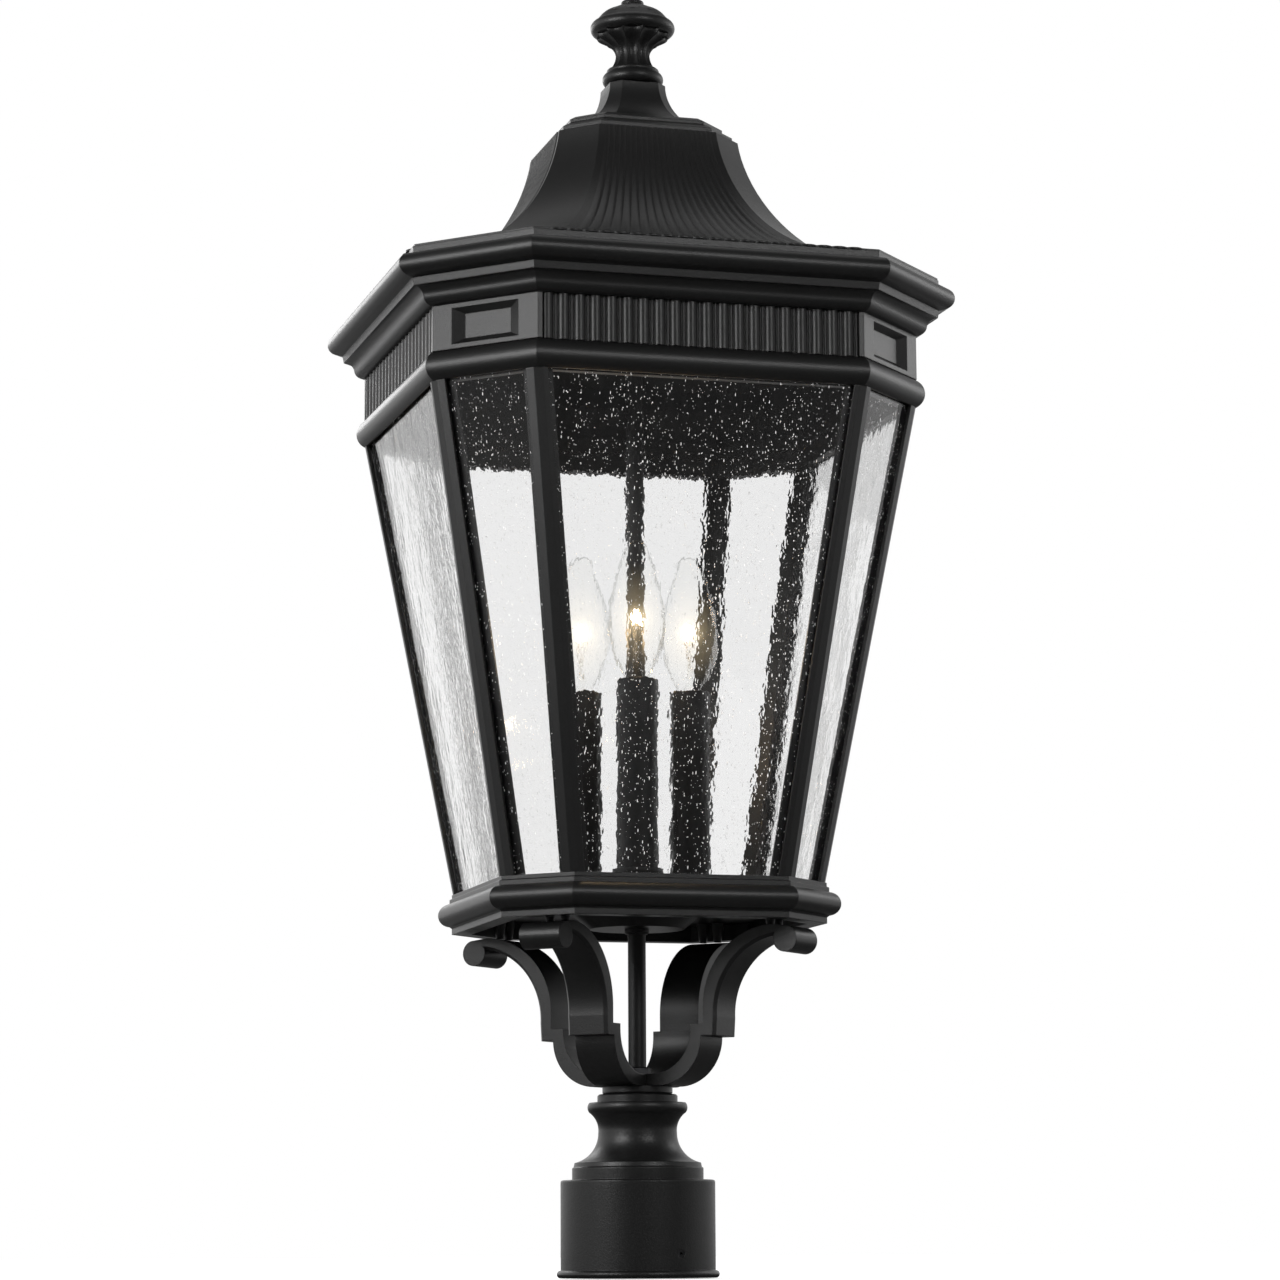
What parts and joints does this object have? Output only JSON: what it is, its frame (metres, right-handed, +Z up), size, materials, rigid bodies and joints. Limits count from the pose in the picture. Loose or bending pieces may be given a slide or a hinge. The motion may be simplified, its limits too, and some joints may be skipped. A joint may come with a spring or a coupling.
{
  "type": "post top lantern",
  "caption": "Post top lantern: a tapered octagonal glass cage with candle lights on scrolled arms, under a reeded lift-off roof and finial.",
  "frame": {"origin": "centre of the collar's mouth, where the lantern slips down over its post", "axes": "+Z up along the post; the front wide pane faces -Y and the wide panes are square to X and Y"},
  "size_m": [0.3076, 0.3076, 0.7096],
  "materials": {
    "black_metal": "matt black fine-textured powder coat on cast aluminium",
    "candle_black": "matt black paint",
    "pipe_metal": "matt black paint over threaded steel pipe",
    "zinc_steel": "blackened zinc, slightly glossy",
    "seeded_glass": "clear glass with small seeds and a faint wave",
    "socket_body": "dull moulded plastic",
    "bulb_glass": "thin clear blown glass",
    "bulb_cap_brass": "bright rolled brass",
    "filament_wire": "bright wire on a clear stem"
  },
  "bodies": {
    "lantern": {"post_fitter": "black_metal", "yoke_hub": "black_metal", "yoke_arm_1": "black_metal", "yoke_arm_2": "black_metal", "yoke_arm_3": "black_metal", "yoke_arm_4": "black_metal", "base_ring": "black_metal", "base_pan": "black_metal", "top_rail": "black_metal", "corner_post_1": "black_metal", "corner_post_2": "black_metal", "corner_post_3": "black_metal", "corner_post_4": "black_metal", "corner_post_5": "black_metal", "corner_post_6": "black_metal", "corner_post_7": "black_metal", "corner_post_8": "black_metal", "cluster_canopy": "black_metal", "candle_cup_1": "black_metal", "candle_cup_2": "black_metal", "candle_cup_3": "black_metal", "candle_sleeve_1": "candle_black", "candle_sleeve_2": "candle_black", "candle_sleeve_3": "candle_black", "centre_pipe": "pipe_metal", "pan_collar": "pipe_metal", "fitter_nut": "zinc_steel", "hub_nut": "zinc_steel", "canopy_nut": "zinc_steel", "arm_screws": "zinc_steel", "wide_pane_1": "seeded_glass", "wide_pane_2": "seeded_glass", "wide_pane_3": "seeded_glass", "wide_pane_4": "seeded_glass", "narrow_pane_1": "seeded_glass", "narrow_pane_2": "seeded_glass", "narrow_pane_3": "seeded_glass", "narrow_pane_4": "seeded_glass", "socket_1": "socket_body", "socket_2": "socket_body", "socket_3": "socket_body"},
    "roof": {"cornice": "black_metal", "roof_dome": "black_metal"},
    "finial_knob": {"finial": "black_metal"},
    "light_1": {"bulb_1": "bulb_glass", "bulb_cap_1": "bulb_cap_brass", "filament_1": "filament_wire"},
    "light_2": {"bulb_2": "bulb_glass", "bulb_cap_2": "bulb_cap_brass", "filament_2": "filament_wire"},
    "light_3": {"bulb_3": "bulb_glass", "bulb_cap_3": "bulb_cap_brass", "filament_3": "filament_wire"},
    "grip_screw_1": {"set_screw_1": "zinc_steel"},
    "grip_screw_2": {"set_screw_2": "zinc_steel"},
    "grip_screw_3": {"set_screw_3": "zinc_steel"}
  },
  "joints": [
    {"name": "roof_lift", "type": "slide", "parent": "lantern", "child": "roof", "axis": [0, 0, 1], "range_m": [0, 0.2]},
    {"name": "finial_turn", "type": "hinge", "parent": "roof", "child": "finial_knob", "pos_m": [0, 0, 0.66], "axis": [0, 0, 1], "continuous": true},
    {"name": "bulb_turn_1", "type": "hinge", "parent": "lantern", "child": "light_1", "pos_m": [-0.00864, -0.0334, 0.3], "axis": [0, 0, 1], "continuous": true},
    {"name": "bulb_turn_2", "type": "hinge", "parent": "lantern", "child": "light_2", "pos_m": [0.03325, 0.00922, 0.3], "axis": [0, 0, 1], "continuous": true},
    {"name": "bulb_turn_3", "type": "hinge", "parent": "lantern", "child": "light_3", "pos_m": [-0.02461, 0.02418, 0.3], "axis": [0, 0, 1], "continuous": true},
    {"name": "screw_press_1", "type": "slide", "parent": "lantern", "child": "grip_screw_1", "axis": [-0.304, 0.9527, 0], "range_m": [0, 0.002]},
    {"name": "screw_press_2", "type": "slide", "parent": "lantern", "child": "grip_screw_2", "axis": [-0.673, -0.7396, 0], "range_m": [0, 0.002]},
    {"name": "screw_press_3", "type": "slide", "parent": "lantern", "child": "grip_screw_3", "axis": [0.977, -0.213, 0], "range_m": [0, 0.002]}
  ]
}
